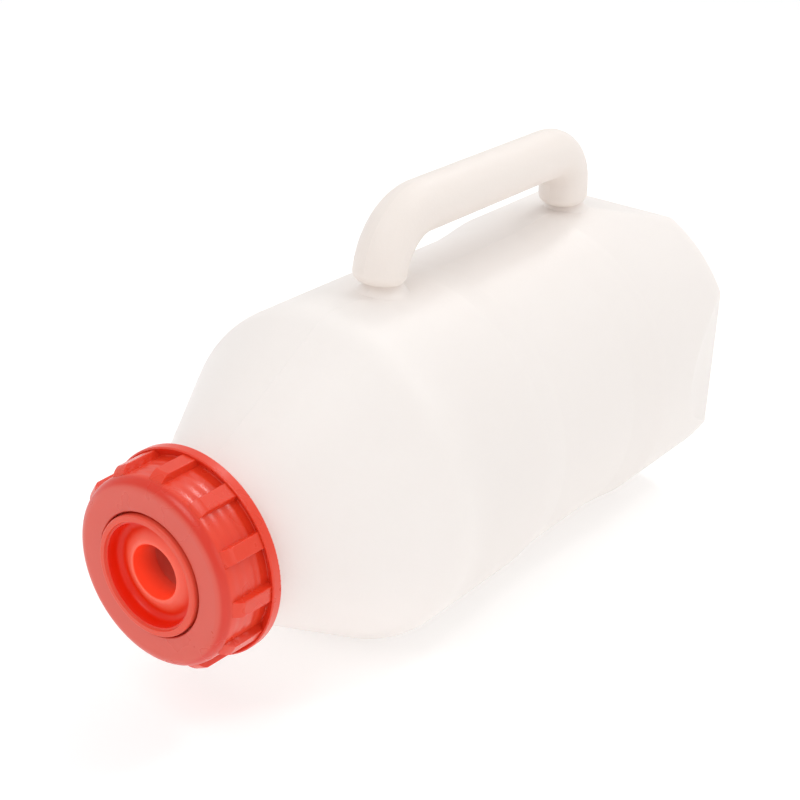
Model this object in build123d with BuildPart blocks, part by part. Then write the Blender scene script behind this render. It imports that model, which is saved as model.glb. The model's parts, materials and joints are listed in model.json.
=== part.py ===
# Calf feeding bottle, about 3 litres: a blow-moulded bottle with a carrying handle, closed by a
# ribbed screw collar that clamps a dished teat seat and its gasket against the mouth.
# Millimetres. +X runs along the bottle from the collar to the base, +Z is up on the handle side,
# and the origin is on the ground under the middle of the bottle.
from build123d import *
from math import atan, cos, degrees, radians, sin
import os

os.makedirs("parts", exist_ok=True)

# ---------------------------------------------------------------- driving dimensions
collar_x = -116.75        # rear plane of the screw collar, along X
axis_z = 64.45            # height of the bottle's own axis above the ground

# bottle body, lengths measured from collar_x, radii from the bottle's axis
wall = 1.9                # moulded wall
mouth_x = -15.0           # plane of the mouth
neck_r = 28.6             # neck, at the root of its thread
neck_bore_r = 26.2
shoulder_x = 5.8          # where the cone starts
front_x = 64.6            # where the cone meets the front barrel
front_r = 64.0
shoulder_round = 15.0
band_x1 = 118.0           # grip band: a shallow waist between two steps
band_x2 = 130.5
band_x3 = 140.0
band_x4 = 181.0
band_x5 = 194.5
band_x6 = 203.5
band_edge_r = 63.85
band_mid_r = 62.35
band_r = 62.1
back_r = 64.45            # back barrel
base_x = 257.5            # plane of the base
flat_half = 56.8          # the base is squared by four flats at this distance
flat_x = 224.0            # where the flats run out into the back barrel
base_round = 1.2
pushup_r = 46.0           # hollow under the base
pushup_floor_r = 34.0
pushup_depth = 4.5

# thread, right-handed
pitch = 4.0
thread_turns = 2.25
thread_x = -12.5          # first male crest
thread_h = 1.4
thread_root_w = 2.0
thread_crest_w = 1.0

# handle: a round bar on two legs, in the plane of the mould joint, and closed by a narrow neck
bar_r = 10.0
bar_bore_r = 7.4
bar_h = 90.2              # height of the bar's middle above the bottle's axis
leg_end_h = 67.3          # underside of both legs
front_leg_x = 95.0        # at leg_end_h
front_lean = 3.15         # how far the leg moves back up to bar_h
back_leg_x = 217.4
back_lean = -1.9
front_bend_r = 22.2
back_bend_r = 14.8
leg_end_round = 3.6
foot_r = 6.8              # neck between the leg and the body
foot_bore_r = 3.6
foot_flare_r = 12.6
foot_shift = 2.0          # the necks stand a little behind the legs

# screw collar
collar_front_x = -22.5    # front face
flange_r = 37.4
flange_t = 4.0            # at its edge; the front face leans in towards the wall
flange_root_x = -2.3
collar_r = 33.8           # wall between the ribs
collar_bore_r = 30.45
collar_face_t = 3.0
collar_hole_r = 22.1
hole_chamfer = 0.3
front_round = 4.3
rib_count = 12
rib_turn = 1.8            # degrees
rib_top_r = 36.4
rib_w = 6.3
rib_top_w = 5.7
rib_root_x = -1.8         # inside the flange
rib_ramp_x = -15.3        # where the rib's top starts to fall
rib_ramp_mid_x = -17.6
rib_ramp_mid_r = 35.3
rib_tip_x = -19.4

# teat seat and gasket
rim_x = -24.0             # front of the seat's rim, proud of the collar
rim_r = 21.45
seat_flange_r = 28.7
seat_flange_x1 = -19.45
seat_flange_x2 = -17.0
plug_r = 21.8
dish_r = 18.95
dish_corner_x = -16.6     # where the floor and the wall of the dish would meet
dish_round = 2.2
plug_end_x = -15.2
hole_r = 9.75
hole_lip_x = -20.0        # top of the dome round the hole
hole_end_x = -9.75
socket_r = 11.7
socket_out_r = 13.9
socket_end_x = -2.0
rim_round = 0.8
gasket_in_r = 22.3
gasket_out_r = 28.3

# ---------------------------------------------------------------- shared planes and axes
bottle_axis = Axis((0, 0, axis_z), (1, 0, 0))


def radial_plane(turn):
    """Plane through the bottle's axis: local x runs along it from collar_x, local y outwards."""
    a = radians(turn)
    return Plane(origin=(collar_x, 0, axis_z), x_dir=(1, 0, 0), z_dir=(0, -cos(a), -sin(a)))


side_plane = radial_plane(0)
cone_slope = (front_r - neck_r) / (front_x - shoulder_x)
cone_angle = atan(cone_slope)
cone_wall = wall / cos(cone_angle)

# ---------------------------------------------------------------- bottle cavity
inner_start_x = shoulder_x + (neck_bore_r + cone_wall - neck_r) / cone_slope
inner_front_x = shoulder_x + (front_r - wall + cone_wall - neck_r) / cone_slope
flat_lean = (back_r - flat_half) / (base_x - flat_x)

with BuildPart() as cavity:
    with BuildSketch(side_plane):
        with BuildLine():
            inner = FilletPolyline(
                (mouth_x - 1, neck_bore_r),
                (inner_start_x, neck_bore_r),
                (inner_front_x, front_r - wall),
                (band_x1, band_edge_r - wall),
                (band_x2, band_mid_r - wall),
                (band_x3, band_r - wall),
                (band_x4, band_r - wall - 0.02),
                (band_x5, band_r + 1.2 - wall),
                (band_x6, back_r - wall),
                (base_x - wall, back_r - wall - 0.02),
                radius=[2, shoulder_round, 2, 20, 20, 20, 20, 6],
            )
            Line(inner @ 1, (base_x - wall, pushup_r + 1))
            Line((base_x - wall, pushup_r + 1), (base_x - wall - pushup_depth, pushup_floor_r))
            Line((base_x - wall - pushup_depth, pushup_floor_r), (base_x - wall - pushup_depth, 0))
            Line((base_x - wall - pushup_depth, 0), (mouth_x - 1, 0))
            Line((mouth_x - 1, 0), inner @ 0)
        make_face()
    revolve(axis=bottle_axis)
    for turn in (0, 90, 180, 270):
        with BuildSketch(radial_plane(turn)):
            with BuildLine():
                Polyline(
                    (flat_x - 20, back_r - wall + 20 * flat_lean),
                    (base_x + 10, flat_half - wall - 10 * flat_lean),
                    (base_x + 10, back_r + 20),
                    (flat_x - 20, back_r + 20),
                    close=True,
                )
            make_face()
        extrude(amount=80, both=True, mode=Mode.SUBTRACT)

# ---------------------------------------------------------------- handle path
with BuildLine(side_plane) as handle_path:
    FilletPolyline(
        (front_leg_x, leg_end_h),
        (front_leg_x + front_lean, bar_h),
        (back_leg_x + back_lean, bar_h),
        (back_leg_x, leg_end_h),
        radius=[front_bend_r, back_bend_r],
    )

with BuildLine(side_plane) as bore_path:
    FilletPolyline(
        (front_leg_x + 0.4, leg_end_h + 3.2),
        (front_leg_x + front_lean, bar_h),
        (back_leg_x + back_lean, bar_h),
        (back_leg_x - 0.3, leg_end_h + 3.2),
        radius=[front_bend_r, back_bend_r],
    )

with BuildPart() as handle_bore:
    with BuildSketch(Plane(bore_path.line @ 0, z_dir=bore_path.line % 0)):
        Circle(bar_bore_r)
    sweep(path=bore_path.line)

with BuildPart() as handle_bar:
    with BuildSketch(Plane(handle_path.line @ 0, z_dir=handle_path.line % 0)):
        Circle(bar_r)
    sweep(path=handle_path.line)
    ends = handle_bar.faces().filter_by(GeomType.PLANE)
    fillet(ends.edges(), radius=leg_end_round)

# ---------------------------------------------------------------- bottle
with BuildPart() as bottle:
    with BuildSketch(side_plane):
        with BuildLine():
            outer = FilletPolyline(
                (mouth_x, neck_r),
                (shoulder_x, neck_r),
                (front_x, front_r),
                (band_x1, band_edge_r),
                (band_x2, band_mid_r),
                (band_x3, band_r),
                (band_x4, band_r - 0.02),
                (band_x5, band_r + 1.2),
                (band_x6, back_r),
                (base_x, back_r - 0.02),
                radius=[2, shoulder_round, 1.5, 20, 20, 20, 20, 3],
            )
            Line(outer @ 1, (base_x, pushup_r))
            Line((base_x, pushup_r), (base_x - pushup_depth, pushup_floor_r))
            Line((base_x - pushup_depth, pushup_floor_r), (base_x - pushup_depth, 0))
            Line((base_x - pushup_depth, 0), (mouth_x, 0))
            Line((mouth_x, 0), outer @ 0)
        make_face()
    revolve(axis=bottle_axis)
    # four flats square the base end and run out forwards
    for turn in (0, 90, 180, 270):
        with BuildSketch(radial_plane(turn)):
            with BuildLine():
                Polyline(
                    (flat_x - 20, back_r + 20 * flat_lean),
                    (base_x + 10, flat_half - 10 * flat_lean),
                    (base_x + 10, back_r + 20),
                    (flat_x - 20, back_r + 20),
                    close=True,
                )
            make_face()
        extrude(amount=80, both=True, mode=Mode.SUBTRACT)
    base_face = bottle.faces().sort_by(Axis.X)[-1]
    fillet(base_face.outer_wire().edges(), radius=base_round)
    # feet of the handle: a short neck with a flared root under each leg
    for foot_x in (front_leg_x + foot_shift, back_leg_x + foot_shift + 0.8):
        with BuildSketch(side_plane):
            with BuildLine():
                Polyline(
                    (foot_x, 55),
                    (foot_x + foot_flare_r, 55),
                    (foot_x + foot_flare_r, 62.7),
                )
                ThreePointArc(
                    (foot_x + foot_flare_r, 62.7),
                    (foot_x + foot_r + 1.75, 64.45),
                    (foot_x + foot_r, 67.2),
                )
                Polyline(
                    (foot_x + foot_r, 67.2),
                    (foot_x + foot_r, 72),
                    (foot_x, 72),
                    (foot_x, 55),
                )
            make_face()
        revolve(axis=Axis((collar_x + foot_x, 0, 0), (0, 0, 1)))
    add(handle_bar.part)
    add(cavity.part, mode=Mode.SUBTRACT)
    add(handle_bore.part, mode=Mode.SUBTRACT)
    for foot_x in (front_leg_x + foot_shift, back_leg_x + foot_shift + 0.8):
        with BuildSketch(Plane.XY.offset(axis_z + 52)):
            with Locations((collar_x + foot_x, 0)):
                Circle(foot_bore_r)
        extrude(amount=26, mode=Mode.SUBTRACT)
    # thread on the neck
    with BuildLine() as male_path:
        Helix(
            pitch=pitch,
            height=pitch * thread_turns,
            radius=neck_r,
            center=(collar_x + thread_x, 0, axis_z),
            direction=(1, 0, 0),
        )
    with BuildSketch(Plane(origin=male_path.line @ 0, x_dir=(1, 0, 0), z_dir=male_path.line % 0)):
        with BuildLine():
            Polyline(
                (-thread_root_w / 2, -0.25),
                (-thread_crest_w / 2, thread_h),
                (thread_crest_w / 2, thread_h),
                (thread_root_w / 2, -0.25),
                close=True,
            )
        make_face()
    sweep(path=male_path.line, is_frenet=True)

bottle.part.label = "bottle"
export_step(bottle.part, "parts/bottle.step")

# ---------------------------------------------------------------- grip ribs of the collar
rib_rise = rib_top_r - (collar_r - 0.6)
rib_side_angle = 90 - degrees(atan((rib_w - rib_top_w) / 2 / rib_rise))

with BuildPart() as ribs:
    rib_start = Plane(
        origin=(collar_x + rib_root_x, 0, axis_z),
        x_dir=(0, 1, 0),
        z_dir=(-1, 0, 0),
    )
    with BuildSketch(rib_start):
        with PolarLocations(radius=collar_r - 0.6, count=rib_count, start_angle=90 - rib_turn):
            Trapezoid(
                width=rib_w,
                height=rib_rise,
                left_side_angle=rib_side_angle,
                rotation=-90,
                align=(Align.CENTER, Align.MIN),
            )
    extrude(amount=rib_root_x - rib_tip_x, taper=1.0)
    top_edges = ribs.edges().filter_by(
        lambda e: e.length > 12 and e.tangent_at(0.5).X ** 2 > 0.99
    ).group_by(lambda e: (e.center() - Vector(e.center().X, 0, axis_z)).length)[-1]
    fillet(top_edges, radius=0.4)
    # ramp at the front end of every rib
    with BuildSketch(side_plane):
        with BuildLine():
            ThreePointArc(
                (rib_ramp_x, rib_top_r),
                (rib_ramp_mid_x, rib_ramp_mid_r),
                (rib_tip_x, collar_r - 0.5),
            )
            Polyline(
                (rib_tip_x, collar_r - 0.5),
                (rib_tip_x - 3, collar_r - 0.5),
                (rib_tip_x - 3, rib_top_r + 4),
                (rib_ramp_x, rib_top_r + 4),
                (rib_ramp_x, rib_top_r),
            )
        make_face()
    revolve(axis=bottle_axis, mode=Mode.SUBTRACT)

# ---------------------------------------------------------------- screw collar
with BuildPart() as screw_collar:
    with BuildSketch(side_plane):
        with BuildLine():
            Line((0, collar_bore_r + 0.8), (0, flange_r - 0.6))
            ThreePointArc((0, flange_r - 0.6), (-0.18, flange_r - 0.18), (-0.6, flange_r))
            Line((-0.6, flange_r), (-flange_t + 0.5, flange_r))
            ThreePointArc(
                (-flange_t + 0.5, flange_r),
                (-flange_t + 0.13, flange_r - 0.17),
                (-flange_t, flange_r - 0.6),
            )
            wall_line = FilletPolyline(
                (-flange_t, flange_r - 0.6),
                (flange_root_x, collar_r),
                (collar_front_x, collar_r - 0.2),
                (collar_front_x - 0.02, collar_hole_r + hole_chamfer),
                radius=[0.3, front_round],
            )
            Line(wall_line @ 1, (collar_front_x + hole_chamfer, collar_hole_r))
            Line(
                (collar_front_x + hole_chamfer, collar_hole_r),
                (collar_front_x + collar_face_t, collar_hole_r),
            )
            Line(
                (collar_front_x + collar_face_t, collar_hole_r),
                (collar_front_x + collar_face_t, collar_bore_r),
            )
            Line((collar_front_x + collar_face_t, collar_bore_r), (-0.8, collar_bore_r))
            Line((-0.8, collar_bore_r), (0, collar_bore_r + 0.8))
        make_face()
    revolve(axis=bottle_axis)
    add(ribs.part)
    # internal thread, half a pitch behind the neck's
    with BuildLine() as female_path:
        Helix(
            pitch=pitch,
            height=pitch * (thread_turns - 0.25),
            radius=collar_bore_r,
            center=(collar_x + thread_x + pitch / 2, 0, axis_z),
            direction=(1, 0, 0),
        )
    with BuildSketch(Plane(origin=female_path.line @ 0, x_dir=(1, 0, 0), z_dir=female_path.line % 0)):
        with BuildLine():
            Polyline(
                (-thread_root_w / 2, 0.25),
                (-thread_crest_w / 2, -thread_h),
                (thread_crest_w / 2, -thread_h),
                (thread_root_w / 2, 0.25),
                close=True,
            )
        make_face()
    sweep(path=female_path.line, is_frenet=True)

screw_collar.part.label = "screw_collar"
export_step(screw_collar.part, "parts/screw_collar.step")

# ---------------------------------------------------------------- teat seat
with BuildPart() as teat_seat:
    with BuildSketch(side_plane):
        with BuildLine():
            Polyline(
                (seat_flange_x2, plug_r),
                (seat_flange_x2, seat_flange_r),
                (seat_flange_x1, seat_flange_r),
                (seat_flange_x1, rim_r),
                (rim_x + rim_round, rim_r),
            )
            ThreePointArc(
                (rim_x + rim_round, rim_r),
                (rim_x + 0.3 * rim_round, rim_r - 0.3 * rim_round),
                (rim_x, rim_r - rim_round),
            )
            Polyline(
                (rim_x, rim_r - rim_round),
                (rim_x, dish_r + 0.35),
                (rim_x + 0.9, dish_r),
                (rim_x + 1.0, dish_r - 0.55),
            )
            dish = FilletPolyline(
                (rim_x + 1.0, dish_r - 0.55),
                (dish_corner_x, dish_r - 0.9),
                (hole_lip_x, hole_r + 1.2),
                (hole_lip_x, hole_r),
                (hole_lip_x + 1.2, hole_r),
                radius=[dish_round, 3, 0.3],
            )
            Polyline(
                dish @ 1,
                (hole_end_x, hole_r),
                (hole_end_x, socket_r),
                (socket_end_x, socket_r),
                (socket_end_x, socket_out_r),
                (plug_end_x, socket_out_r),
                (plug_end_x, plug_r),
                (seat_flange_x2, plug_r),
            )
        make_face()
    revolve(axis=bottle_axis)

teat_seat.part.label = "teat_seat"
export_step(teat_seat.part, "parts/teat_seat.step")

# ---------------------------------------------------------------- gasket
with BuildPart() as gasket:
    with BuildSketch(side_plane):
        with BuildLine():
            Polyline(
                (seat_flange_x2, gasket_in_r),
                (seat_flange_x2, gasket_out_r),
                (mouth_x, gasket_out_r),
                (mouth_x, gasket_in_r),
                close=True,
            )
        make_face()
    revolve(axis=bottle_axis)

gasket.part.label = "gasket"
export_step(gasket.part, "parts/gasket.step")

for piece in (bottle, screw_collar, teat_seat, gasket):
    print(piece.part.label, piece.part.is_valid, len(piece.solids()), piece.part.volume / 1000)
print("inside", round(cavity.part.volume / 1e6, 2), "litres to the brim")
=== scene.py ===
import bpy
import json
import math
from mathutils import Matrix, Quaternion, Vector

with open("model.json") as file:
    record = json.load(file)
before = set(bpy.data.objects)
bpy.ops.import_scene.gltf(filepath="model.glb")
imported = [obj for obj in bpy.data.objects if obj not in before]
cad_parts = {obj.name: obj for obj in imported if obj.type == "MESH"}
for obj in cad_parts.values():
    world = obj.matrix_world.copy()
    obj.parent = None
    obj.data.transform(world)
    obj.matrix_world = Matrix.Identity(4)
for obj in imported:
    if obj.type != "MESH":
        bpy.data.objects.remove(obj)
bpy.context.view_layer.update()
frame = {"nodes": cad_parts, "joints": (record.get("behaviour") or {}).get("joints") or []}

scene = bpy.context.scene
scene.view_settings.view_transform = "Standard"
scene.view_settings.look = "None"

# Lengths are in metres, angles in degrees and lamp powers in watts. Colours are linear RGB.

# ------------------------------------------------------------------ places on the object
# the collar's hinge sits in the middle of its rear plane, on the bottle's axis
hinge = next(joint for joint in frame["joints"] if joint["name"] == "collar_turn")
COLLAR_X, _, AXIS_Z = hinge["pos_m"]
PITCH = 0.004                                     # of the closure's thread


def from_collar(*offsets):
    """Places along x, given as distances from the collar's rear plane."""
    return tuple(COLLAR_X + offset for offset in offsets)


# Two numbers are where a change starts and where it ends.
BARREL_START = (-0.065, -0.03)                    # x, where the shoulder runs into the barrel
LOWER_SIDE = (AXIS_Z - 0.055, AXIS_Z + 0.035)     # z, from the barrel's bottom into its upper half
HANDLE_START = (AXIS_Z + 0.064, AXIS_Z + 0.0685)  # z, at the top of the barrel
SEAM_HALF_WIDTH = (0.0, 0.0006)                   # from the handle's plane to each side
FRONT_FACE = from_collar(-0.0224, -0.0214)        # x, the collar's face and the seat's rim
ROUNDING_RADIUS = (0.0345, 0.0338)                # from the ribs, which are left out, to the wall
RIPPLE_RADIUS = (0.0343, 0.0349)                  # from the wall to the ribs and the flange
BORE_RADIUS = (0.0098, 0.0103)                    # round the wall of the seat's hole
BORE_DEPTH = from_collar(-0.0185, -0.0095)        # x, from the hole's mouth inward

# Four numbers are where a band starts, is full, stops being full and ends.
ROUNDING_LENGTH = from_collar(-0.0224, -0.0217, -0.0203, -0.0188)
RIPPLE_LENGTH = from_collar(-0.0195, -0.017, -0.006, -0.0045)
DOME_RADIUS = (0.0095, 0.0102, 0.0118, 0.0158)    # round the seat's hole
CORNER_RADIUS = (0.0135, 0.0172, 0.0185, 0.0190)  # outer corner of the seat's dish

# ------------------------------------------------------------------ looks
# Noise is scale, detail and roughness.
SKIN_CLOUD = (14.0, 3.0, 0.5)
SKIN_GRAIN = (900.0, 2.0, 0.5)
RED_CLOUD = (60.0, 3.0, 0.5)
RED_GRAIN = (2600.0, 2.0, 0.6)
SEAL_GRAIN = (500.0, 4.0, 0.6)
MIDDLE_NOISE = (0.3, 0.7)                         # the part of a noise's range that makes the change
WIDE_NOISE = (0.2, 0.8)

SKIN_DARK = (0.870, 0.806, 0.766)
SKIN_LIGHT = (0.888, 0.824, 0.784)
# painted shade on the lower side of the barrel
SKIN_LOWER_SIDE_SHADE = (0.770, 0.712, 0.674)
LOWER_SHADE_LEAST = 0.3                            # share of that colour on the rest of the barrel
SKIN_HANDLE = (0.72, 0.635, 0.575)
HANDLE_SHARE = 0.5
SKIN_ROUGHNESS = (0.42, 0.50)
SKIN_PAINTED_GLOW = 0.055                                 # painted light: a glow for light through the skin
SKIN_PAINTED_GLOW_COLOR = (1.0, 0.94, 0.90, 1.0)

# painted sheen of white light on the collar's face and the seat's rim
RED_FACE_SHEEN = (0.60, 0.14, 0.11)
# painted dark reflection in the rounding between the collar's face and wall
RED_ROUNDING_DARK_REFLECTION = (0.62, 0.018, 0.006)
ROUNDING_REFLECTION_SHARE = 0.6
# painted sheen on the dome round the seat's hole
RED_DOME_SHEEN = (0.97, 0.165, 0.11)
# painted shade in the corner of the seat's dish
RED_CORNER_SHADE = (0.78, 0.012, 0.001)
DISH_SHARE = 0.8                                  # for the dome and for the corner
BORE_PAINTED_GLOW = 0.30                                  # painted light: a glow in the hole, for light through the seat
BORE_PAINTED_GLOW_LEAST = 0.05                            # share of it at the hole's inner end
BORE_PAINTED_GLOW_COLOR = (1.0, 0.035, 0.004)
BLACK = (0.0, 0.0, 0.0)

SEAL_DARK = (0.66, 0.64, 0.6)
SEAL_LIGHT = (0.76, 0.74, 0.7)
SEAL_ROUGHNESS = (0.6, 0.75)

# Relief is the height of a bump.
GRAIN_RELIEF = 0.00004                            # on the skin and on the seal
RED_GRAIN_RELIEF = 0.00002
SEAM_RELIEF = 0.00006
RIPPLE_RELIEF = 0.00006


# ------------------------------------------------------------------ small node helpers
def new_material(name):
    material = bpy.data.materials.new(name)
    material.use_nodes = True
    tree = material.node_tree
    return material, tree, tree.nodes["Principled BSDF"]


def set_inputs(node, values):
    for name, value in values.items():
        node.inputs[name].default_value = value


def calculate(tree, operation, first, second=None):
    """second is a number, a socket, or left out where the operation takes one value."""
    node = tree.nodes.new("ShaderNodeMath")
    node.operation = operation
    tree.links.new(first, node.inputs[0])
    if isinstance(second, float):
        node.inputs[1].default_value = second
    elif second is not None:
        tree.links.new(second, node.inputs[1])
    return node.outputs[0]


def multiply(tree, first, second):
    return calculate(tree, "MULTIPLY", first, second)


def noise(tree, place, settings):
    node = tree.nodes.new("ShaderNodeTexNoise")
    set_inputs(node, dict(zip(("Scale", "Detail", "Roughness"), settings)))
    tree.links.new(place, node.inputs["Vector"])
    return node.outputs["Fac"]


def map_range(tree, value, span, result=(0.0, 1.0), interpolation="LINEAR"):
    node = tree.nodes.new("ShaderNodeMapRange")
    node.interpolation_type = interpolation
    tree.links.new(value, node.inputs["Value"])
    for i, number in enumerate((*span, *result), start=1):
        node.inputs[i].default_value = number
    return node.outputs[0]


def fade(tree, value, span, start, end):
    """A smooth change from start to end while value goes through span."""
    return map_range(tree, value, span, (start, end), "SMOOTHSTEP")


def band(tree, value, stops):
    """1 between the two middle stops, 0 outside the outer two, smooth in between."""
    rising = fade(tree, value, stops[:2], 0.0, 1.0)
    falling = fade(tree, value, stops[2:], 1.0, 0.0)
    return multiply(tree, rising, falling)


def mix_color(tree, share, first, second):
    """The colours are RGB tuples or sockets. share is how much of the second is mixed in."""
    node = tree.nodes.new("ShaderNodeMix")
    node.data_type = "RGBA"
    tree.links.new(share, node.inputs[0])
    for i, color in ((6, first), (7, second)):    # the Mix node's colour inputs
        if isinstance(color, tuple):
            node.inputs[i].default_value = (*color, 1.0)
        else:
            tree.links.new(color, node.inputs[i])
    return node.outputs[2]                        # its colour output


def object_place(tree):
    return tree.nodes.new("ShaderNodeTexCoord").outputs["Object"]


def split_xyz(tree, place):
    node = tree.nodes.new("ShaderNodeSeparateXYZ")
    tree.links.new(place, node.inputs[0])
    return node.outputs["X"], node.outputs["Y"], node.outputs["Z"]


def bump(tree, height, relief, below=None):
    """height is a share of relief. below is the normal of another bump, which this one is laid over."""
    node = tree.nodes.new("ShaderNodeBump")
    set_inputs(node, {"Strength": 1.0, "Distance": relief})
    tree.links.new(height, node.inputs["Height"])
    if below is not None:
        tree.links.new(below, node.inputs["Normal"])
    return node.outputs["Normal"]


# ------------------------------------------------------------------ materials
def natural_plastic():
    material, tree, shader = new_material("natural_plastic")
    place = object_place(tree)
    x, y, z = split_xyz(tree, place)
    cloud = noise(tree, place, SKIN_CLOUD)
    color = mix_color(tree, map_range(tree, cloud, MIDDLE_NOISE), SKIN_DARK, SKIN_LIGHT)
    # painted shade: the lower side of the barrel is a touch darker than its top
    lower_shade = fade(tree, z, LOWER_SIDE, 1.0, LOWER_SHADE_LEAST)
    barrel = fade(tree, x, BARREL_START, 0.0, 1.0)
    color = mix_color(tree, multiply(tree, lower_shade, barrel), color, SKIN_LOWER_SIDE_SHADE)
    # the handle and its feet are thicker, so they look a little darker and warmer
    handle = fade(tree, z, HANDLE_START, 0.0, 1.0)
    color = mix_color(tree, multiply(tree, handle, HANDLE_SHARE), color, SKIN_HANDLE)
    tree.links.new(color, shader.inputs["Base Color"])
    tree.links.new(map_range(tree, cloud, MIDDLE_NOISE, SKIN_ROUGHNESS), shader.inputs["Roughness"])
    # the parting line of the mould runs in the plane of the handle, over the grain
    grain = bump(tree, noise(tree, place, SKIN_GRAIN), GRAIN_RELIEF)
    seam = fade(tree, calculate(tree, "ABSOLUTE", y), SEAM_HALF_WIDTH, 1.0, 0.0)
    tree.links.new(bump(tree, seam, SEAM_RELIEF, grain), shader.inputs["Normal"])
    set_inputs(shader, {
        "Subsurface Weight": 0.6,
        "Subsurface Radius": (0.8, 0.8, 0.8),
        "Subsurface Scale": 0.008,
        # painted light: the skin glows, standing in for light that comes through it, so its shaded side
        # isn't dark
        "Emission Color": SKIN_PAINTED_GLOW_COLOR,
        "Emission Strength": SKIN_PAINTED_GLOW,
        "IOR": 1.5,
        "Specular IOR Level": 0.4,
    })
    return material


def collar_painted_reflection(tree, x, radius, color):
    """Painted dark reflection: the rounding between face and wall is darker and deeper red."""
    off_ribs = fade(tree, radius, ROUNDING_RADIUS, 0.0, ROUNDING_REFLECTION_SHARE)
    rounding = multiply(tree, band(tree, x, ROUNDING_LENGTH), off_ribs)
    return mix_color(tree, rounding, color, RED_ROUNDING_DARK_REFLECTION)


def thread_ripple(tree, x, y, up, radius):
    """The turns of the internal thread, which show through the collar's wall as a slow ripple."""
    turn = multiply(tree, calculate(tree, "ARCTAN2", y, up), 1.0 / (2 * math.pi))
    phase = calculate(tree, "ADD", multiply(tree, x, 1.0 / PITCH), turn)
    wave = calculate(tree, "SINE", multiply(tree, phase, 2 * math.pi))
    on_wall = fade(tree, radius, RIPPLE_RADIUS, 1.0, 0.0)
    return multiply(tree, multiply(tree, wave, on_wall), band(tree, x, RIPPLE_LENGTH))


def seat_painted_light(tree, radius, color):
    """Painted light: a sheen makes the dome round the hole paler, and painted shade makes the dish's
    corner deeper.
    """
    for stops, tint in ((DOME_RADIUS, RED_DOME_SHEEN), (CORNER_RADIUS, RED_CORNER_SHADE)):
        color = mix_color(tree, multiply(tree, band(tree, radius, stops), DISH_SHARE), color, tint)
    return color


def seat_painted_glow(tree, x, radius):
    """Painted light: a glow in the seat's hole stands in for light that comes through the seat, less of
    it further in.
    """
    bore = fade(tree, radius, BORE_RADIUS, 1.0, 0.0)
    depth = fade(tree, x, BORE_DEPTH, 1.0, BORE_PAINTED_GLOW_LEAST)
    return mix_color(tree, multiply(tree, bore, depth), BLACK, BORE_PAINTED_GLOW_COLOR)


def red_plastic(name, is_collar, dark, light, face_sheen_share, roughness, specular):
    material, tree, shader = new_material(name)
    place = object_place(tree)
    x, y, z = split_xyz(tree, place)
    up = calculate(tree, "SUBTRACT", z, AXIS_Z)
    radius = calculate(
        tree, "SQRT", calculate(tree, "ADD", multiply(tree, y, y), multiply(tree, up, up)))
    cloud = noise(tree, place, RED_CLOUD)
    color = mix_color(tree, map_range(tree, cloud, WIDE_NOISE), dark, light)
    # painted sheen: the front face is paler than the walls, a white reflection painted into its colour
    face = fade(tree, x, FRONT_FACE, 1.0, 0.0)
    color = mix_color(tree, multiply(tree, face, face_sheen_share), color, RED_FACE_SHEEN)
    normal = bump(tree, noise(tree, place, RED_GRAIN), RED_GRAIN_RELIEF)
    if is_collar:
        color = collar_painted_reflection(tree, x, radius, color)
        normal = bump(tree, thread_ripple(tree, x, y, up, radius), RIPPLE_RELIEF, normal)
    else:
        color = seat_painted_light(tree, radius, color)
        # painted light: the seat's hole glows
        tree.links.new(seat_painted_glow(tree, x, radius), shader.inputs["Emission Color"])
        set_inputs(shader, {"Emission Strength": BORE_PAINTED_GLOW})
    tree.links.new(color, shader.inputs["Base Color"])
    tree.links.new(map_range(tree, cloud, WIDE_NOISE, roughness), shader.inputs["Roughness"])
    tree.links.new(normal, shader.inputs["Normal"])
    set_inputs(shader, {
        "Subsurface Weight": 0.25,
        "Subsurface Radius": (1.0, 0.25, 0.12),
        "Subsurface Scale": 0.0015,
        "IOR": 1.49,
        "Specular IOR Level": specular,
    })
    return material


def seal_rubber():
    material, tree, shader = new_material("seal")
    grain = noise(tree, object_place(tree), SEAL_GRAIN)
    tree.links.new(mix_color(tree, grain, SEAL_DARK, SEAL_LIGHT), shader.inputs["Base Color"])
    tree.links.new(map_range(tree, grain, MIDDLE_NOISE, SEAL_ROUGHNESS), shader.inputs["Roughness"])
    tree.links.new(bump(tree, grain, GRAIN_RELIEF), shader.inputs["Normal"])
    return material


def set_material(node_name, material):
    """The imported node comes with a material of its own, which this one takes the place of."""
    for slot in frame["nodes"][node_name].material_slots:
        slot.material = material


set_material("bottle", natural_plastic())
# face_sheen_share is how much painted sheen the front face gets
set_material("screw_collar", red_plastic(
    "red_plastic", is_collar=True, dark=(0.74, 0.044, 0.014), light=(0.79, 0.053, 0.020),
    face_sheen_share=0.45, roughness=(0.25, 0.31), specular=0.5))
set_material("teat_seat", red_plastic(
    "orange_red_plastic", is_collar=False, dark=(0.84, 0.045, 0.008), light=(0.88, 0.055, 0.012),
    face_sheen_share=0.4, roughness=(0.30, 0.38), specular=0.3))
set_material("gasket", seal_rubber())

# ------------------------------------------------------------------ floor, light and camera
WHITE = (1.0, 1.0, 1.0, 1.0)
FLOOR_REACH = 40.0                                # to each side, so that its edge is out of view
MIDDLE = Vector((0.0, 0.0, 0.07))                 # of the whole object
CLOSURE = Vector((COLLAR_X - 0.012, 0.0, AXIS_Z))

# name, target, azimuth, elevation, distance, diameter, power
LIGHTS = (
    ("overhead", MIDDLE, 100, 62, 1.5, 1.2, 1.6),
    ("front", MIDDLE, -85, 55, 1.5, 0.8, 4.4),
    ("window_back", CLOSURE, 100, 43, 0.9, 0.12, 0.55),
    ("window_front", CLOSURE, 42, 54, 0.9, 0.15, 0.7),
    ("side", MIDDLE, -15, 20, 2.0, 1.0, 2.0),
)

CAMERA_PLACE = (-0.45631, -0.33311, 0.34836)
CAMERA_AZIMUTH = -53.484
CAMERA_ELEVATION = 25.671
CAMERA_ROLL = 2.121


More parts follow.
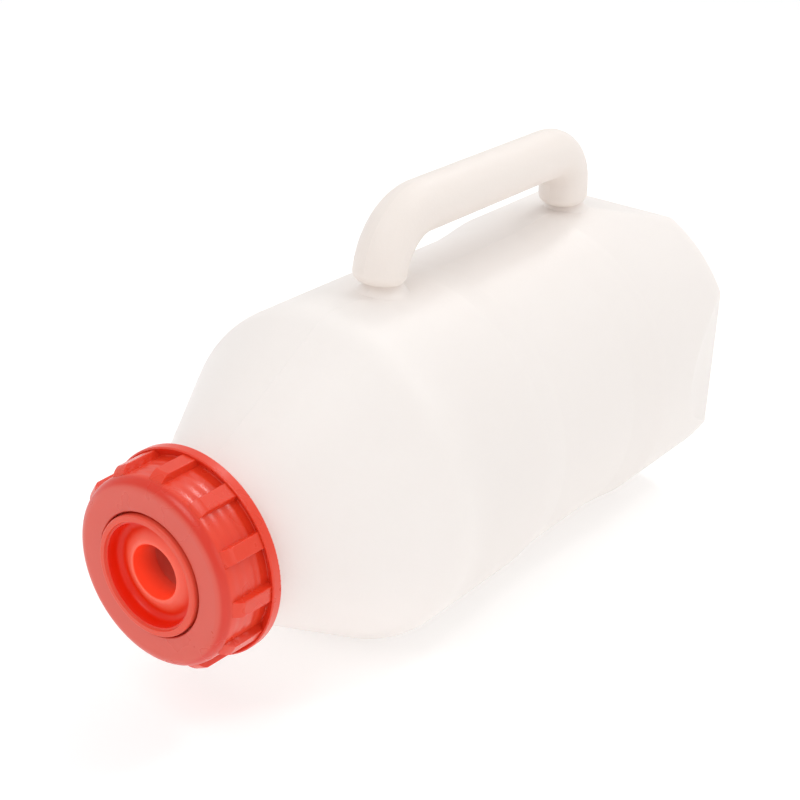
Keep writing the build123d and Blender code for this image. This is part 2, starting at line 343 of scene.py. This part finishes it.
def direction(azimuth, elevation):
    """A unit vector. Azimuth 0 points along -y and 90 along +x, and elevation is above the horizon."""
    around, above = math.radians(azimuth), math.radians(elevation)
    level = math.cos(above)
    return Vector((math.sin(around) * level, -math.cos(around) * level, math.sin(above)))


def add_facing(name, data, location, back):
    """Adds a light or a camera that looks the opposite way to back."""
    added = bpy.data.objects.new(name, data)
    added.location = location
    added.rotation_mode = "QUATERNION"
    added.rotation_quaternion = back.to_track_quat("Z", "Y")
    scene.collection.objects.link(added)
    return added


def area_light(name, target, azimuth, elevation, distance, diameter, power):
    lamp = bpy.data.lights.new(name, "AREA")
    lamp.shape = "DISK"
    lamp.size = diameter
    lamp.energy = power
    back = direction(azimuth, elevation)
    add_facing(name, lamp, target + back * distance, back)


def floor():
    mesh = bpy.data.meshes.new("floor")
    reach = FLOOR_REACH
    corners = [(-reach, -reach, 0), (reach, -reach, 0), (reach, reach, 0), (-reach, reach, 0)]
    mesh.from_pydata(corners, [], [(0, 1, 2, 3)])
    obj = bpy.data.objects.new("floor", mesh)
    scene.collection.objects.link(obj)
    material, _, shader = new_material("floor")
    set_inputs(shader, {
        "Base Color": (0.76, 0.76, 0.76, 1.0),
        "Roughness": 0.9,
        "Specular IOR Level": 0.1,
        # a little light of its own keeps the shadows pale
        "Emission Color": WHITE,
        "Emission Strength": 0.36,
    })
    mesh.materials.append(material)


floor()
for light in LIGHTS:
    area_light(*light)

world = bpy.data.worlds.new("studio")
world.use_nodes = True
set_inputs(world.node_tree.nodes["Background"], {"Color": WHITE, "Strength": 0.74})
scene.world = world

camera_data = bpy.data.cameras.new("camera")
camera_data.sensor_width = 36.0                   # in mm, like the focal length
camera_data.lens = 74.0
camera_data.clip_start = 0.01
camera_data.clip_end = 100.0
back = direction(CAMERA_AZIMUTH, CAMERA_ELEVATION)
camera = add_facing("camera", camera_data, CAMERA_PLACE, back)
camera.rotation_quaternion = Quaternion(back, math.radians(CAMERA_ROLL)) @ camera.rotation_quaternion
scene.camera = camera
